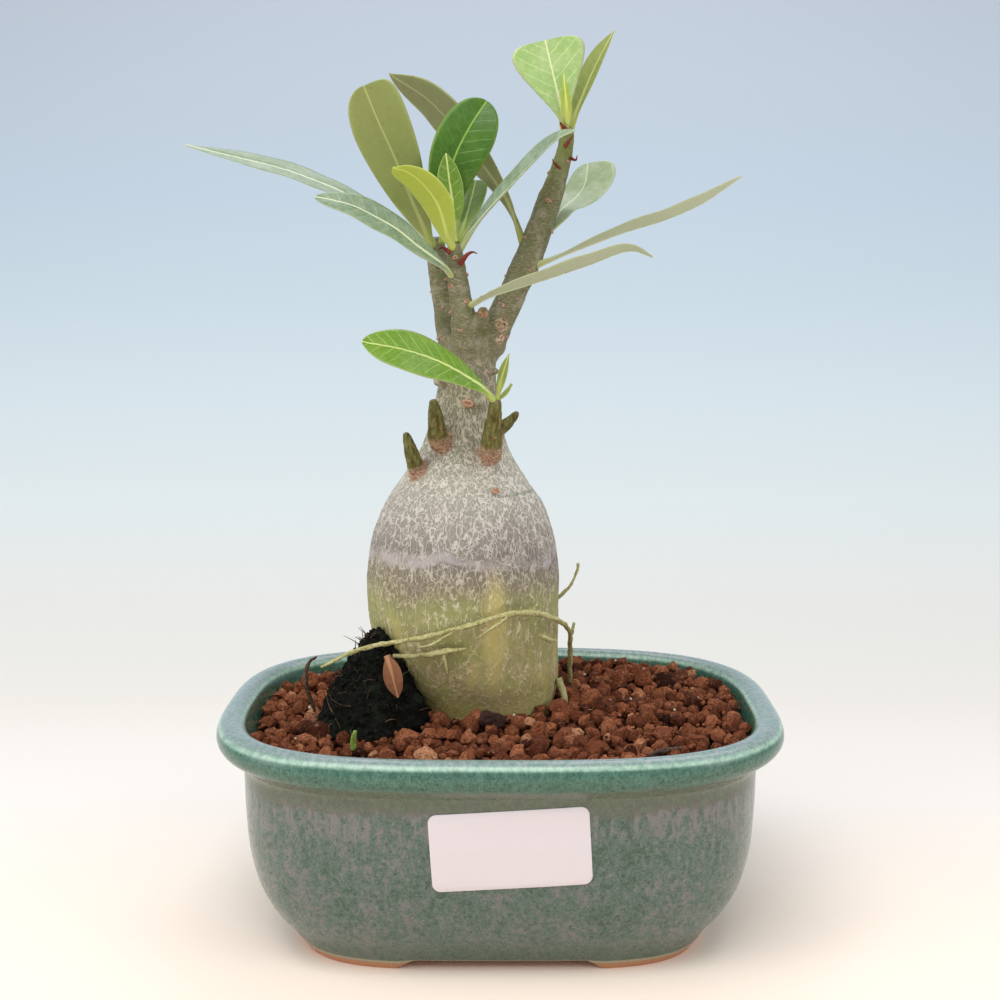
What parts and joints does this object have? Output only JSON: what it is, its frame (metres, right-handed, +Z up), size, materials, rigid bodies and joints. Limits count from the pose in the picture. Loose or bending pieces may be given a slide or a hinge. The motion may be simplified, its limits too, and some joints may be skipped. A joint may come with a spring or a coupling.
{
  "type": "potted desert rose adenium",
  "caption": "Young desert rose with a swollen caudex, three leafy branches and aerial roots, standing in red granular soil in a mottled green glazed bonsai pot with corner feet.",
  "frame": {"origin": "on the standing plane, under the centre of the bounding box of plant and pot", "axes": "+Z up, X along the pot's long side, Y along its short side; the labelled long side of the pot faces -Y"},
  "size_m": [0.1605, 0.122, 0.2446],
  "materials": {
    "pot_glaze": "glossy mottled green reactive glaze over red-brown clay, unglazed under the feet",
    "soil": "matt fired-clay granules",
    "bark": "matt grey bark with fine pale reticulate cracks",
    "peat": "matt black fibrous peat",
    "label": "plain white satin film, blank",
    "dark_granule": "matt dark granule",
    "screen": "moulded plastic mesh",
    "dry_wood": "dry brown plant matter",
    "root": "bare olive root skin",
    "leaf_green": "waxy leaf, glossy upper side, pale midrib",
    "leaf_young": "young waxy leaf, yellow-green",
    "leaf_grey": "mature waxy leaf, grey-green with pale olive underside"
  },
  "bodies": {
    "root": {"dark_granule": "dark_granule", "drain_screen_left": "screen", "drain_screen_right": "screen", "dry_leaf_scrap": "dry_wood", "green_sprout": "leaf_young", "label": "label", "large_granule": "soil", "leaf_behind_right": "leaf_grey", "leaf_bud_spear": "leaf_young", "leaf_dark_glossy": "leaf_green", "leaf_long_left": "leaf_grey", "leaf_lower_left": "leaf_grey", "leaf_narrow_folded": "leaf_grey", "leaf_neck": "leaf_green", "leaf_rear_crossing": "leaf_grey", "leaf_rear_large": "leaf_grey", "leaf_rear_right_short": "leaf_green", "leaf_right_lower": "leaf_grey", "leaf_right_upper": "leaf_grey", "leaf_shoot_small": "leaf_green", "leaf_shoot_upright": "leaf_green", "leaf_top_fan": "leaf_young", "leaf_top_lance": "leaf_green", "leaf_young_upright": "leaf_young", "leaf_young_yellow": "leaf_young", "peat_clump": "peat", "plant": "bark", "pot": "pot_glaze", "root_curl_dark": "dry_wood", "root_long": "root", "root_short": "root", "root_tendril": "root", "soil_bed": "soil", "twig": "dry_wood"}
  },
  "joints": []
}
